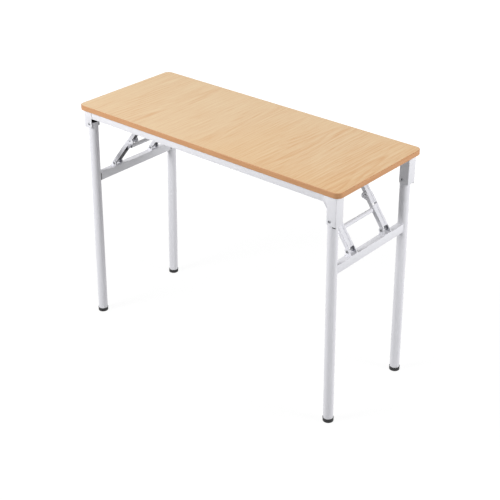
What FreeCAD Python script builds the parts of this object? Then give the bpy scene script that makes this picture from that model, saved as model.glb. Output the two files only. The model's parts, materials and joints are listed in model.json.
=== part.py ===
"""Folding desk: a banded wooden top on a steel frame with two folding leg frames.

Millimetres. +X runs along the desk, -Y is the front, +Z is up, and the origin is on the floor
under the middle of the top. Each end has a leg frame that turns on rivets in two brackets. Two
braces hold it open: an upper link hangs under the top, a lower link stands on the leg crossbar,
and they meet at a knee that folds outwards and up.
"""
import FreeCAD, Part
import math
import os

import Sketcher

ALONG_Y = FreeCAD.Vector(0, 1, 0)
ALONG_Z = FreeCAD.Vector(0, 0, 1)
NOWHERE = FreeCAD.Vector(0, 0, 0)
SHEET = "Sizes"
START, END, CENTRE = range(1, 4)
ORIGIN = -START
DIAGONAL = math.sqrt(0.5)
NEAR = 1e-3

doc = FreeCAD.newDocument("folding_desk")
sheet = doc.addObject("Spreadsheet::Sheet", SHEET)
nodes = []


class Size:
    """A number together with the sheet expression that gives it."""

    def __init__(self, value, text):
        self.value = float(value)
        self.text = text

    def __add__(self, other):
        other = as_size(other)
        return Size(self.value + other.value, f"({self.text} + {other.text})")

    def __radd__(self, other):
        return as_size(other) + self

    def __sub__(self, other):
        other = as_size(other)
        return Size(self.value - other.value, f"({self.text} - {other.text})")

    def __rsub__(self, other):
        return as_size(other) - self

    def __mul__(self, other):
        other = as_size(other)
        return Size(self.value * other.value, f"({self.text} * {other.text})")

    def __rmul__(self, other):
        return as_size(other) * self

    def __truediv__(self, other):
        other = as_size(other)
        return Size(self.value / other.value, f"({self.text} / {other.text})")

    def __neg__(self):
        return Size(-self.value, f"(0 - {self.text})")


def as_size(number):
    """A plain number as a Size, and a Size as it is."""
    if isinstance(number, Size):
        return number
    return Size(number, str(number))


def cell(name, value):
    """A driving dimension: one named cell of the sheet."""
    row = 1 + sum(1 for used in sheet.getUsedCells() if used.startswith("A"))
    sheet.set(f"A{row}", name)
    sheet.set(f"B{row}", str(value))
    sheet.setAlias(f"B{row}", name)
    return Size(value, f"{SHEET}.{name}")


ZERO = as_size(0)

# Top
top_length = cell("top_length", 1000)
top_depth = cell("top_depth", 400)
desk_height = cell("desk_height", 750)
board_thickness = cell("board_thickness", 16)
corner_radius = cell("corner_radius", 20)
band_thickness = cell("band_thickness", 2)
band_round = cell("band_round", 1.4)

# Rails and cross tubes under the top
rail_width = cell("rail_width", 20)
rail_height = cell("rail_height", 25)
cross_tube_width = cell("cross_tube_width", 20)
tube_wall = cell("tube_wall", 1.2)

# Leg frames
leg_inset = cell("leg_inset", 26.4)
leg_diameter = cell("leg_diameter", 30)
leg_crown = cell("leg_crown", 5)
pivot_inset = cell("pivot_inset", 34)
pivot_drop = {"left": cell("left_pivot_drop", 44), "right": cell("right_pivot_drop", 76.5)}
splay = {"left": cell("left_splay", 1.4), "right": cell("right_splay", 0.9)}
foot_height = cell("foot_height", 12)
foot_wall = cell("foot_wall", 1.2)
foot_sole = cell("foot_sole", 4)
foot_edge = cell("foot_edge", 1)
crossbar_drop = cell("crossbar_drop", 232)
crossbar_width = cell("crossbar_width", 20)
crossbar_height = cell("crossbar_height", 26)
crossbar_offset = cell("crossbar_offset", 0)

# Brackets that carry the legs
bracket_wall = cell("bracket_wall", 1.6)
bracket_play = cell("bracket_play", 0.5)
bracket_web_room = cell("bracket_web_room", 4.5)
bracket_flange = cell("bracket_flange", 31)
bracket_end = cell("bracket_end", 13)
bracket_corner = cell("bracket_corner", 6)
bracket_bend = cell("bracket_bend", 2.4)
gusset_size = {"left": cell("left_gusset_radius", 3), "right": cell("right_gusset_radius", 12)}

# Braces
brace_spread = cell("brace_spread", 83)
brace_run = {"left": cell("left_brace_run", 152), "right": cell("right_brace_run", 136)}
hanger_drop = cell("hanger_drop", 15)
lower_length = {"left": cell("left_lower_length", 123), "right": cell("right_lower_length", 110)}
link_wall = cell("link_wall", 1.6)
lower_width = cell("lower_width", 25)
web_rise = cell("web_rise", 9)
edge_drop = cell("edge_drop", 3)
lobe_radius = cell("lobe_radius", 11.5)
lobe_run = cell("lobe_run", 14)
web_start = {"left": cell("left_web_start", 47), "right": cell("right_web_start", 33.5)}
tail_length = {"left": cell("left_tail_length", 31), "right": cell("right_tail_length", 29)}
tail_mitre = cell("tail_mitre", 16)
groove_width = cell("groove_width", 9)
groove_depth = cell("groove_depth", 0.9)
groove_margin = cell("groove_margin", 4)
web_stop = cell("web_stop", 8)
rod_diameter = cell("rod_diameter", 13)
rod_station = {"left": cell("left_rod_station", 40), "right": cell("right_rod_station", 45)}
rod_drop = cell("rod_drop", 2)
clevis_wall = cell("clevis_wall", 2)
clevis_base = cell("clevis_base", 20)
clevis_foot = cell("clevis_foot", 5)
clevis_rise = cell("clevis_rise", 12)
clevis_lean = cell("clevis_lean", 4.5)
ear_radius = cell("ear_radius", 9)
hanger_wall = cell("hanger_wall", 2)
hanger_back = cell("hanger_back", 15)
hanger_top_gap = cell("hanger_top_gap", 1)

# Rivets and screws
rivet_radius = cell("rivet_radius", 3)
rivet_head_radius = cell("rivet_head_radius", 4.8)
rivet_head_height = cell("rivet_head_height", 2.2)
screw_radius = cell("screw_radius", 2)
screw_head_radius = cell("screw_head_radius", 4.5)
screw_head_height = cell("screw_head_height", 2.4)
screw_head_flat = cell("screw_head_flat", 3.4)
screw_bite = cell("screw_bite", 11)
inner_screw_station = cell("inner_screw_station", 120)
outer_screw_inset = cell("outer_screw_inset", 100)

# Clearances
pivot_clearance = cell("pivot_clearance", 0.05)
side_clearance = cell("side_clearance", 0.3)
seat_clearance = cell("seat_clearance", 0.1)
screw_clearance = cell("screw_clearance", 0.3)
doc.recompute()

# Sizes that follow from the driving ones
board_bottom = desk_height - board_thickness
rail_bottom = board_bottom - rail_height
leg_radius = leg_diameter / 2
leg_spread = top_depth / 2 - leg_inset
pivot_reach = top_length / 2 - pivot_inset
pivot_height = {end: board_bottom - drop for end, drop in pivot_drop.items()}
crossbar_level = board_bottom - crossbar_drop
hanger_level = board_bottom - hanger_drop
hanger_reach = {end: pivot_reach - run for end, run in brace_run.items()}
screw_stations = (inner_screw_station, top_length / 2 - outer_screw_inset)
bracket_web_gap = leg_radius + bracket_web_room
bracket_inside = leg_diameter + 2 * bracket_play
bracket_width = bracket_inside + 2 * bracket_wall
rail_offset = leg_spread + bracket_inside / 2 - rail_width / 2
lower_inside = lower_width - 2 * link_wall
upper_width = lower_inside - 2 * side_clearance
upper_inside = upper_width - 2 * link_wall
hanger_inside = upper_width + 2 * side_clearance
hanger_width = hanger_inside + 2 * hanger_wall
clevis_inside = lower_width + 2 * side_clearance
clevis_width = clevis_inside + 2 * clevis_wall
pivot_bore = rivet_radius + pivot_clearance

ENDS = ("left", "right")
SIDES = {"front": -1, "rear": 1}
TURN = {"left": 180, "right": 0}


def end_place(end, x, y, z, tilt=0.0):
    """A placement at one end, given as on the right end; the left end is turned half round."""
    turn = FreeCAD.Placement(NOWHERE, FreeCAD.Rotation(ALONG_Z, TURN[end]))
    spot = FreeCAD.Placement(FreeCAD.Vector(x, y, z), FreeCAD.Rotation(ALONG_Y, tilt))
    return turn.multiply(spot)


def side_offset(end, side, spread):
    """Where front or rear lies across an end's own frame, which is turned on the left."""
    facing = -1 if end == "left" else 1
    return SIDES[side] * facing * spread.value


def leg_place(end, along=0.0, across=0.0, up=0.0):
    """A placement in the leg frame of one end: its origin is the pivot and its Z runs up the leg."""
    pivot = end_place(end, pivot_reach.value, 0, pivot_height[end].value, -splay[end].value)
    return pivot.multiply(FreeCAD.Placement(FreeCAD.Vector(along, across, up), FreeCAD.Rotation()))


def crossbar_depth(end):
    """How far the crossbar's middle lies below the pivot, along the leg."""
    return (pivot_height[end].value - crossbar_level.value) / math.cos(math.radians(splay[end].value))


def clevis_point(end):
    """The lower brace pivot in the leg frame: along X and down."""
    along = crossbar_offset.value - clevis_lean.value
    down = crossbar_depth(end) - crossbar_height.value / 2 - clevis_rise.value
    return along, down


def brace_line(end):
    """Length from hanger to clevis and the slope in degrees, as on the right end."""
    along, down = clevis_point(end)
    lean = math.radians(splay[end].value)
    foot_x = pivot_reach.value + along * math.cos(lean) + down * math.sin(lean)
    foot_z = pivot_height[end].value + along * math.sin(lean) - down * math.cos(lean)
    run = foot_x - hanger_reach[end].value
    fall = hanger_level.value - foot_z
    return math.hypot(run, fall), math.degrees(math.atan2(fall, run))


upper_length = {}
for end in ENDS:
    upper_length[end] = cell(f"{end}_upper_length", brace_line(end)[0] - lower_length[end].value)
doc.recompute()


def brace_place(end, side, along):
    """A placement on a brace: X runs down it from the hanger, and Z points out of its web."""
    slope = brace_line(end)[1]
    spot = end_place(end, hanger_reach[end].value, side_offset(end, side, brace_spread),
                     hanger_level.value, slope)
    return spot.multiply(FreeCAD.Placement(FreeCAD.Vector(along, 0, 0), FreeCAD.Rotation()))


def new_body(label):
    """An empty body of the document."""
    body = doc.addObject("PartDesign::Body", label)
    body.Label = label
    return body


def new_sketch(body, name, plane, lift=None):
    """A sketch on one of the body's own origin planes, lifted off it where asked."""
    sketch = body.newObject("Sketcher::SketchObject", f"{body.Label}_{name}")
    support = [item for item in body.Origin.OriginFeatures if item.Role == plane]
    sketch.AttachmentSupport = [(support[0], "")]
    sketch.MapMode = "FlatFace"
    if lift is not None:
        sketch.setExpression("AttachmentOffset.Base.z", lift.text)
    return sketch


def bind(sketch, kind, item, spot, size):
    """One dimension of a sketch, measured from the origin and bound to the sheet."""
    if kind == "Radius":
        rule = Sketcher.Constraint(kind, item, size.value)
    else:
        rule = Sketcher.Constraint(kind, ORIGIN, START, item, spot, size.value)
    index = sketch.addConstraint(rule)
    sketch.setExpression(f"Constraints[{index}]", size.text)


def draw(sketch, start, steps):
    """A closed outline: each step is a line to a point, or an arc to it by a bulge and a centre."""
    here = start
    drawn = []
    for step in steps:
        first = FreeCAD.Vector(here[0].value, here[1].value, 0)
        last = FreeCAD.Vector(step[0].value, step[1].value, 0)
        begin, finish = START, END
        if len(step) == 2:
            item = sketch.addGeometry(Part.LineSegment(first, last), False)
        else:
            bulge = FreeCAD.Vector(step[2][0].value, step[2][1].value, 0)
            if (bulge - first).cross(last - bulge).z < 0:
                begin, finish = END, START
                first, last = last, first
            item = sketch.addGeometry(Part.Arc(first, bulge, last), False)
        drawn.append((item, begin, finish, here, step))
        here = step
    previous = drawn[-1]
    for entry in drawn:
        joint = (previous[0], previous[2], entry[0], entry[1])
        sketch.addConstraint(Sketcher.Constraint("Coincident", *joint))
        previous = entry
    for item, begin, finish, corner, step in drawn:
        bind(sketch, "DistanceX", item, begin, corner[0])
        bind(sketch, "DistanceY", item, begin, corner[1])
        if len(step) > 2:
            upright = abs(step[0].value - corner[0].value) < abs(step[1].value - corner[1].value)
            kind = "DistanceX" if upright else "DistanceY"
            bind(sketch, kind, item, CENTRE, step[3][0] if upright else step[3][1])


def circle(sketch, x, y, radius):
    """A circle of a sketch."""
    middle = FreeCAD.Vector(x.value, y.value, 0)
    item = sketch.addGeometry(Part.Circle(middle, ALONG_Z, radius.value), False)
    bind(sketch, "Radius", item, None, radius)
    bind(sketch, "DistanceX", item, CENTRE, x)
    bind(sketch, "DistanceY", item, CENTRE, y)


def rectangle(sketch, left, bottom, right, top):
    """An upright rectangle of a sketch."""
    draw(sketch, (left, bottom), [(right, bottom), (right, top), (left, top), (left, bottom)])


def rounded_rectangle(sketch, length, depth, radius):
    """A rectangle about the origin with round corners."""
    far_x = length / 2
    far_y = depth / 2
    near_x = far_x - radius
    near_y = far_y - radius
    mid_x = near_x + radius * DIAGONAL
    mid_y = near_y + radius * DIAGONAL
    draw(sketch, (-near_x, -far_y), [
        (near_x, -far_y),
        (far_x, -near_y, (mid_x, -mid_y), (near_x, -near_y)),
        (far_x, near_y),
        (near_x, far_y, (mid_x, mid_y), (near_x, near_y)),
        (-near_x, far_y),
        (-far_x, near_y, (-mid_x, mid_y), (-near_x, near_y)),
        (-far_x, -near_y),
        (-near_x, -far_y, (-mid_x, -mid_y), (-near_x, -near_y)),
    ])


def pad(body, sketch, length, both_ways=False, down=None):
    """Material along a sketch's normal, centred on it or with a second length the other way."""
    feature = body.newObject("PartDesign::Pad", f"{sketch.Name}_pad")
    feature.Profile = sketch
    feature.setExpression("Length", length.text)
    if both_ways:
        feature.SideType = "Symmetric"
    if down is not None:
        feature.SideType = "Two sides"
        feature.setExpression("Length2", down.text)
    doc.recompute()
    return feature


def cut(body, sketch, length=None, both_ways=True, upwards=False):
    """Material taken away along a sketch's normal, right through where no length is given."""
    before = body.Shape.Volume
    feature = body.newObject("PartDesign::Pocket", f"{sketch.Name}_cut")
    feature.Profile = sketch
    if length is None:
        feature.Type = "ThroughAll"
    else:
        feature.setExpression("Length", length.text)
    if both_ways:
        feature.SideType = "Symmetric"
    feature.Reversed = upwards
    doc.recompute()
    if body.Shape.Volume >= before:
        raise RuntimeError(f"{sketch.Name} cuts nothing")
    return feature


def turn_solid(body, sketch, axis):
    """A solid of revolution about an axis of its own sketch."""
    feature = body.newObject("PartDesign::Revolution", f"{sketch.Name}_turned")
    feature.Profile = sketch
    feature.ReferenceAxis = (sketch, [axis])
    feature.Angle = 360
    doc.recompute()
    return feature


def soften(body, base, radius, wanted):
    """Round the edges of a feature for which wanted says yes."""
    names = [f"Edge{number}" for number, edge in enumerate(base.Shape.Edges, 1) if wanted(edge)]
    feature = body.newObject("PartDesign::Fillet", f"{base.Name}_round")
    feature.Base = (base, names)
    feature.setExpression("Radius", radius.text)
    doc.recompute()
    return feature


def place_node(item, placement):
    """Put a finished sub-part in its place and list it."""
    item.Placement = placement
    nodes.append(item)


def group_node(label, members):
    """Like fasteners as one node of separate solids."""
    group = doc.addObject("Part::Compound", label)
    group.Label = label
    group.Links = members
    nodes.append(group)


def lies_at(edge, axis, level):
    """Whether an edge runs in a plane square to an axis."""
    low = getattr(edge.BoundBox, f"{axis}Min")
    high = getattr(edge.BoundBox, f"{axis}Max")
    return abs(low - level) < NEAR and abs(high - level) < NEAR


def screw_spots():
    """The screws' places along and across the top."""
    return [(sign * station, facing * rail_offset) for station in screw_stations
            for sign in (-1, 1) for facing in SIDES.values()]


def make_top():
    """The board, drilled for its screws, and the band round its edge."""
    board = new_body("desk_top")
    inner_length = top_length - 2 * band_thickness
    inner_depth = top_depth - 2 * band_thickness
    inner_radius = corner_radius - band_thickness
    plan = new_sketch(board, "plan", "XY_Plane")
    rounded_rectangle(plan, inner_length, inner_depth, inner_radius)
    pad(board, plan, board_thickness)
    pilots = new_sketch(board, "pilots", "XY_Plane")
    for along, across in screw_spots():
        circle(pilots, along, across, screw_radius + pivot_clearance)
    cut(board, pilots, screw_bite + screw_clearance, both_ways=False, upwards=True)
    place_node(board, FreeCAD.Placement(FreeCAD.Vector(0, 0, board_bottom.value), FreeCAD.Rotation()))

    band = new_body("edge_band")
    ring = new_sketch(band, "ring", "XY_Plane")
    rounded_rectangle(ring, top_length, top_depth, corner_radius)
    rounded_rectangle(ring, inner_length, inner_depth, inner_radius)
    strip = pad(band, ring, board_thickness)
    reach = (top_length - band_thickness).value / 2
    front = (top_depth - band_thickness).value / 2

    def on_outside(edge):
        box = edge.BoundBox
        flat = lies_at(edge, "Z", 0) or lies_at(edge, "Z", board_thickness.value)
        return flat and (max(box.XMax, -box.XMin) > reach or max(box.YMax, -box.YMin) > front)

    soften(band, strip, band_round, on_outside)
    place_node(band, FreeCAD.Placement(FreeCAD.Vector(0, 0, board_bottom.value), FreeCAD.Rotation()))


def box_tube(body, plane, width, height, length):
    """A rectangular tube about its own axis, square to a plane."""
    section = new_sketch(body, "section", plane)
    rectangle(section, -width / 2, -height / 2, width / 2, height / 2)
    hollow_x = width / 2 - tube_wall
    hollow_y = height / 2 - tube_wall
    rectangle(section, -hollow_x, -hollow_y, hollow_x, hollow_y)
    return pad(body, section, length, both_ways=True)


def make_rails():
    """The two long rails, drilled for the screws, and the cross tubes between them."""
    level = (rail_bottom + rail_height / 2).value
    for side, facing in SIDES.items():
        rail = new_body(f"{side}_rail")
        box_tube(rail, "YZ_Plane", rail_width, rail_height, 2 * (pivot_reach + bracket_web_gap))
        holes = new_sketch(rail, "holes", "XY_Plane")
        for station in screw_stations:
            for sign in (-1, 1):
                circle(holes, sign * station, ZERO, screw_radius + screw_clearance)
        cut(rail, holes)
        across = facing * rail_offset.value
        place_node(rail, FreeCAD.Placement(FreeCAD.Vector(0, across, level), FreeCAD.Rotation()))
    for end in ENDS:
        tube = new_body(f"{end}_cross_tube")
        box_tube(tube, "XZ_Plane", cross_tube_width, rail_height, 2 * (rail_offset - rail_width / 2))
        middle = hanger_reach[end] - hanger_back - cross_tube_width / 2
        place_node(tube, end_place(end, middle.value, 0, level))


def make_screws():
    """Screws through the rails into the board."""
    members = []
    for number, (along, across) in enumerate(screw_spots(), 1):
        screw = new_body(f"top_screw_{number}")
        half = new_sketch(screw, "half", "XZ_Plane")
        draw(half, (ZERO, -screw_head_height), [
            (screw_head_flat, -screw_head_height),
            (screw_head_radius, -screw_head_height / 2),
            (screw_head_radius, ZERO),
            (screw_radius, ZERO),
            (screw_radius, rail_height + screw_bite - screw_radius),
            (ZERO, rail_height + screw_bite),
            (ZERO, -screw_head_height),
        ])
        turn_solid(screw, half, "V_Axis")
        spot = FreeCAD.Vector(along.value, across.value, rail_bottom.value)
        screw.Placement = FreeCAD.Placement(spot, FreeCAD.Rotation())
        members.append(screw)
    group_node("top_screws", members)


def make_rivet(label, grip, heads=2):
    """A rivet along its own Y: a shank through the grip with a domed head at each end, or at one."""
    rivet = new_body(label)
    half = new_sketch(rivet, "half", "XY_Plane")
    dome = (rivet_head_radius * rivet_head_radius / rivet_head_height + rivet_head_height) / 2
    rim = grip / 2
    crest = rim + rivet_head_height
    bulge_x = rivet_head_radius / 2
    sag = dome.value - math.sqrt(dome.value ** 2 - bulge_x.value ** 2)
    bulge_y = crest - sag
    steps = [
        (rivet_radius, rim),
        (rivet_head_radius, rim),
        (ZERO, crest, (bulge_x, bulge_y), (ZERO, crest - dome)),
    ]
    if heads == 2:
        start = (ZERO, -crest)
        steps = [(rivet_head_radius, -rim, (bulge_x, -bulge_y), (ZERO, dome - crest)),
                 (rivet_radius, -rim)] + steps
    else:
        start = (ZERO, -rim)
        steps = [(rivet_radius, -rim)] + steps
    draw(half, start, steps + [start])
    turn_solid(rivet, half, "V_Axis")
    return rivet


def pivot_hole(body, x, y, radius, name):
    """A hole across a piece, square to its XZ plane."""
    hole = new_sketch(body, name, "XZ_Plane")
    circle(hole, x, y, radius)
    cut(body, hole)


def make_bracket(end, side):
    """A channel under the top that holds a leg's pivot, open towards the middle of the desk."""
    bracket = new_body(f"{side}_{end}_leg_bracket")
    outer = bracket_web_gap + bracket_wall
    inner = outer - bracket_flange
    gusset_radius = gusset_size[end]
    top = board_bottom - pivot_height[end]
    bottom = -bracket_end
    round_off = bracket_corner * (1 - DIAGONAL)
    gusset_off = gusset_radius * (1 - DIAGONAL)
    gusset_top = rail_bottom - pivot_height[end]
    gusset_foot = gusset_top - gusset_radius
    flange = new_sketch(bracket, "flange", "XZ_Plane")
    draw(flange, (outer, top), [
        (inner - gusset_radius, top),
        (inner - gusset_radius, gusset_top),
        (inner, gusset_foot, (inner - gusset_off, gusset_top - gusset_off),
         (inner - gusset_radius, gusset_foot)),
        (inner, bottom + bracket_corner),
        (inner + bracket_corner, bottom, (inner + round_off, bottom + round_off),
         (inner + bracket_corner, bottom + bracket_corner)),
        (outer, bottom),
        (outer, top),
    ])
    pad(bracket, flange, bracket_width, both_ways=True)
    hollow = new_sketch(bracket, "hollow", "XZ_Plane")
    beyond = inner - 2 * gusset_radius
    rectangle(hollow, beyond, bottom - bracket_corner, bracket_web_gap, top + bracket_corner)
    channel = cut(bracket, hollow, bracket_inside)

    def is_bend(edge):
        return lies_at(edge, "X", outer.value) and edge.BoundBox.ZLength > bracket_end.value

    soften(bracket, channel, bracket_bend, is_bend)
    pivot_hole(bracket, ZERO, ZERO, pivot_bore, "pivot")
    across = side_offset(end, side, leg_spread)
    place_node(bracket, end_place(end, pivot_reach.value, across, pivot_height[end].value))


def leg_line(end):
    """Distance from the pivot to the floor along the leg."""
    return pivot_height[end].value / math.cos(math.radians(splay[end].value))


def make_leg(end, side):
    """One round tube leg, from just above its pivot to the inside of its foot."""
    leg = new_body(f"{side}_{end}_leg")
    section = new_sketch(leg, "section", "XY_Plane")
    circle(section, ZERO, ZERO, leg_radius)
    circle(section, ZERO, ZERO, leg_radius - tube_wall)
    pad(leg, section, leg_crown, down=as_size(leg_line(end)) - foot_sole)
    pivot_hole(leg, ZERO, ZERO, pivot_bore, "pivot")
    place_node(leg, leg_place(end, across=side_offset(end, side, leg_spread)))


def make_foot(end, side):
    """A plastic cap on the leg's end, its sole cut level with the floor."""
    foot = new_body(f"{side}_{end}_foot")
    radius = leg_radius + seat_clearance + foot_wall
    block = new_sketch(foot, "block", "XY_Plane")
    circle(block, ZERO, ZERO, radius)
    pad(foot, block, foot_height, down=foot_sole)
    bore = new_sketch(foot, "bore", "XY_Plane", lift=foot_sole)
    circle(bore, ZERO, ZERO, leg_radius + seat_clearance)
    cut(foot, bore, both_ways=False, upwards=True)
    sole = new_sketch(foot, "sole", "XZ_Plane")
    reach = 2 * radius
    rise = reach * math.tan(math.radians(splay[end].value))
    draw(sole, (-reach, rise), [(reach, -rise), (reach, -2 * foot_sole - rise),
                                (-reach, -2 * foot_sole - rise), (-reach, rise)])
    level = cut(foot, sole)

    def is_sole_edge(edge):
        return edge.BoundBox.ZMax < foot_sole.value - NEAR and edge.Closed

    soften(foot, level, foot_edge, is_sole_edge)
    place_node(foot, leg_place(end, across=side_offset(end, side, leg_spread), up=-leg_line(end)))


def make_crossbar(end):
    """The tube between two legs, its ends cut to sit round them."""
    bar = new_body(f"{end}_leg_crossbar")
    box_tube(bar, "XZ_Plane", crossbar_width, crossbar_height, 2 * leg_spread)
    saddles = new_sketch(bar, "saddles", "XY_Plane")
    for facing in SIDES.values():
        circle(saddles, -crossbar_offset, facing * leg_spread, leg_radius + pivot_clearance)
    cut(bar, saddles)
    place_node(bar, leg_place(end, along=crossbar_offset.value, up=-crossbar_depth(end)))


def make_clevis(end, side):
    """The fork on the crossbar that carries a brace's foot; its origin is the pivot."""
    clevis = new_body(f"{side}_{end}_clevis")
    back = clevis_lean - clevis_base / 2
    front = clevis_lean + clevis_base / 2
    ears = new_sketch(clevis, "ears", "XZ_Plane")
    draw(ears, (back, -clevis_rise), [
        (front, -clevis_rise),
        (front, -clevis_rise + clevis_wall),
        (ear_radius, ZERO),
        (-ear_radius, ZERO, (ZERO, ear_radius), (ZERO, ZERO)),
        (back, -clevis_rise + clevis_wall),
        (back, -clevis_rise),
    ])
    pad(clevis, ears, clevis_width, both_ways=True)
    base = new_sketch(clevis, "base", "XZ_Plane")
    rectangle(base, back, -clevis_rise, front, -clevis_rise + clevis_wall)
    pad(clevis, base, clevis_width + 2 * clevis_foot, both_ways=True)
    gap = new_sketch(clevis, "gap", "XZ_Plane")
    reach = clevis_base + ear_radius
    rectangle(gap, -reach, -clevis_rise + clevis_wall, reach, 2 * ear_radius)
    cut(clevis, gap, clevis_inside)
    pivot_hole(clevis, ZERO, ZERO, pivot_bore, "pivot")
    along, down = clevis_point(end)
    across = side_offset(end, side, brace_spread)
    place_node(clevis, leg_place(end, along=along, across=across, up=-down))


def make_hanger(end, side):
    """The fork on a cross tube that carries a brace's head; its origin is the pivot."""
    hanger = new_body(f"{side}_{end}_brace_hanger")
    top = board_bottom - hanger_level - hanger_top_gap
    bottom = rail_bottom - hanger_level
    ears = new_sketch(hanger, "ears", "XZ_Plane")
    draw(ears, (-hanger_back, bottom), [
        (ZERO, -ear_radius),
        (ZERO, ear_radius, (ear_radius, ZERO), (ZERO, ZERO)),
        (-hanger_back, top),
        (-hanger_back, bottom),
    ])
    pad(hanger, ears, hanger_width, both_ways=True)
    gap = new_sketch(hanger, "gap", "XZ_Plane")
    rectangle(gap, hanger_wall - hanger_back, -hanger_back, 2 * ear_radius, hanger_back + top)
    cut(hanger, gap, hanger_inside)
    pivot_hole(hanger, ZERO, ZERO, pivot_bore, "pivot")
    across = side_offset(end, side, brace_spread)
    place_node(hanger, end_place(end, hanger_reach[end].value, across, hanger_level.value))


def link_groove(body, begin, finish):
    """A shallow stiffening groove along the outside of a link's web."""
    groove = new_sketch(body, "groove", "XY_Plane", lift=web_rise)
    rectangle(groove, begin + groove_margin, -groove_width / 2, finish - groove_margin, groove_width / 2)
    cut(body, groove, groove_depth, both_ways=False)


def make_upper_link(end, side):
    """The channel that hangs from the hanger; its tail runs past the knee inside the lower link."""
    link = new_body(f"{side}_{end}_upper_link")
    knee = upper_length[end]
    tip = knee + tail_length[end]
    middle = (web_rise - edge_drop) / 2
    radius = (web_rise + edge_drop) / 2
    outline = new_sketch(link, "outline", "XZ_Plane")
    draw(outline, (ZERO, web_rise), [
        (tip, web_rise),
        (tip - tail_mitre, -edge_drop),
        (ZERO, -edge_drop),
        (ZERO, web_rise, (-radius, middle), (ZERO, middle)),
    ])
    pad(link, outline, upper_width, both_ways=True)
    hollow = new_sketch(link, "hollow", "XZ_Plane")
    rectangle(hollow, -2 * radius, -2 * edge_drop, tip + edge_drop, web_rise - link_wall)
    cut(link, hollow, upper_inside)
    pivot_hole(link, ZERO, ZERO, pivot_bore, "head")
    pivot_hole(link, knee, ZERO, pivot_bore, "knee")
    link_groove(link, ZERO, tip)
    place_node(link, brace_place(end, side, 0))


def make_lower_link(end, side):
    """The wider channel on the clevis: a fork past each end of its web holds the knee and the foot."""
    link = new_body(f"{side}_{end}_lower_link")
    foot = lower_length[end]
    middle = (web_rise - edge_drop) / 2
    radius = (web_rise + edge_drop) / 2
    outline = new_sketch(link, "outline", "XZ_Plane")
    lobe_middle = web_rise - lobe_radius
    draw(outline, (ZERO, web_rise), [
        (foot, web_rise),
        (foot, -edge_drop, (foot + radius, middle), (foot, middle)),
        (lobe_run, -edge_drop),
        (ZERO, lobe_middle - lobe_radius),
        (ZERO, web_rise, (-lobe_radius, lobe_middle), (ZERO, lobe_middle)),
    ])
    pad(link, outline, lower_width, both_ways=True)
    reach = foot + 2 * radius
    hollow = new_sketch(link, "hollow", "XZ_Plane")
    rectangle(hollow, -2 * lobe_radius, -2 * lobe_radius, reach, web_rise - link_wall)
    cut(link, hollow, lower_inside)
    window = new_sketch(link, "window", "XZ_Plane")
    rectangle(window, -2 * lobe_radius, ZERO, web_start[end], 2 * web_rise + lobe_radius)
    cut(link, window, lower_inside)
    open_foot = new_sketch(link, "open_foot", "XZ_Plane")
    rectangle(open_foot, foot - web_stop, ZERO, reach, 2 * web_rise)
    cut(link, open_foot, lower_inside)
    pivot_hole(link, ZERO, ZERO, pivot_bore, "knee")
    pivot_hole(link, foot, ZERO, pivot_bore, "foot")
    link_groove(link, web_start[end], foot - web_stop)
    place_node(link, brace_place(end, side, upper_length[end].value))


def make_release_rod(end):
    """The round tube that joins an end's two lower links just below their knees."""
    rod = new_body(f"{end}_release_rod")
    section = new_sketch(rod, "section", "XZ_Plane")
    circle(section, rod_station[end], -rod_drop, rod_diameter / 2)
    circle(section, rod_station[end], -rod_drop, rod_diameter / 2 - tube_wall)
    pad(rod, section, 2 * brace_spread - lower_width, both_ways=True)
    spot = brace_place(end, "front", upper_length[end].value)
    spot.Base.y = 0
    place_node(rod, spot)


def make_pivots(end):
    """The rivets of one end: leg pivots, brace heads, brace feet and knees."""
    leg_rivets = []
    hanger_rivets = []
    clevis_rivets = []
    knee_rivets = []
    along, down = clevis_point(end)
    for side in SIDES:
        rivet = make_rivet(f"{side}_{end}_leg_rivet", bracket_width)
        across = side_offset(end, side, leg_spread)
        rivet.Placement = end_place(end, pivot_reach.value, across, pivot_height[end].value)
        leg_rivets.append(rivet)
        rivet = make_rivet(f"{side}_{end}_hanger_rivet", hanger_width)
        rivet.Placement = brace_place(end, side, 0)
        hanger_rivets.append(rivet)
        rivet = make_rivet(f"{side}_{end}_clevis_rivet", clevis_width)
        across = side_offset(end, side, brace_spread)
        rivet.Placement = leg_place(end, along=along, across=across, up=-down)
        clevis_rivets.append(rivet)
        knee = brace_place(end, side, upper_length[end].value)
        for arm, turn in (("near", 180), ("far", 0)):
            rivet = make_rivet(f"{side}_{end}_{arm}_knee_rivet", link_wall, heads=1)
            offset = (lower_width - link_wall).value / 2
            way = FreeCAD.Placement(NOWHERE, FreeCAD.Rotation(ALONG_Z, turn))
            out = FreeCAD.Placement(FreeCAD.Vector(0, offset, 0), FreeCAD.Rotation())
            rivet.Placement = knee.multiply(way).multiply(out)
            knee_rivets.append(rivet)
    group_node(f"{end}_leg_rivets", leg_rivets)
    group_node(f"{end}_hanger_rivets", hanger_rivets)
    group_node(f"{end}_clevis_rivets", clevis_rivets)
    group_node(f"{end}_knee_rivets", knee_rivets)


def check_and_write():
    """Stop at any failed object, then write each sub-part to its file."""
    doc.recompute()
    for item in doc.Objects:
        if "Invalid" in item.State or "Error" in item.State:
            raise RuntimeError(f"{item.Label} failed: {item.State}")
    os.makedirs("parts", exist_ok=True)
    for node in nodes:
        if node.Shape.isNull() or not node.Shape.isValid():
            raise RuntimeError(f"{node.Label} has no valid shape")
    for node in nodes:
        node.Shape.exportStep(f"parts/{node.Label}.step")
        print(node.Label, len(node.Shape.Solids), round(node.Shape.Volume, 1))


make_top()
make_rails()
make_screws()
for end in ENDS:
    for side in SIDES:
        make_bracket(end, side)
        make_leg(end, side)
        make_foot(end, side)
        make_clevis(end, side)
        make_hanger(end, side)
        make_upper_link(end, side)
        make_lower_link(end, side)
    make_crossbar(end)
    make_release_rod(end)
    make_pivots(end)
check_and_write()
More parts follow.
